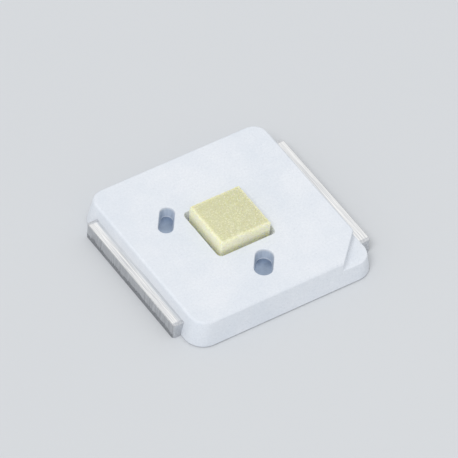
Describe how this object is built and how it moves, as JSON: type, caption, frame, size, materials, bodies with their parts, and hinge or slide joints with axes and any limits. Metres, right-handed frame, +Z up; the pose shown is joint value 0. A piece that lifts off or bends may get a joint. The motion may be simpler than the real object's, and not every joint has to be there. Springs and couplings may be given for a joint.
{
  "type": "surface-mount LED",
  "caption": "Square white surface-mount LED with a raised yellow phosphor chip, silver solder pads and a cut corner that marks the cathode.",
  "frame": {"origin": "on the board plane, under the centre of the body", "axes": "+Z up from the board, +X from the anode side to the cathode side, +Y towards the back edge; the cut corner is at +X -Y"},
  "size_m": [0.0038, 0.0036, 0.0007],
  "materials": {
    "body_white": "fine matte moulded white",
    "lead_silver": "satin silver plating",
    "solder": "reflowed solder",
    "sapphire": "sawn",
    "phosphor": "matte silicone filled with phosphor",
    "silicon": "sawn"
  },
  "bodies": {
    "root": {"anode_lead": "lead_silver", "cathode_lead": "lead_silver", "moulded_body": "body_white", "anode_die_joint": "solder", "cathode_die_joint": "solder", "led_die": "sapphire", "phosphor_cap": "phosphor", "protection_diode": "silicon", "anode_diode_joint": "solder", "cathode_diode_joint": "solder"}
  },
  "joints": []
}
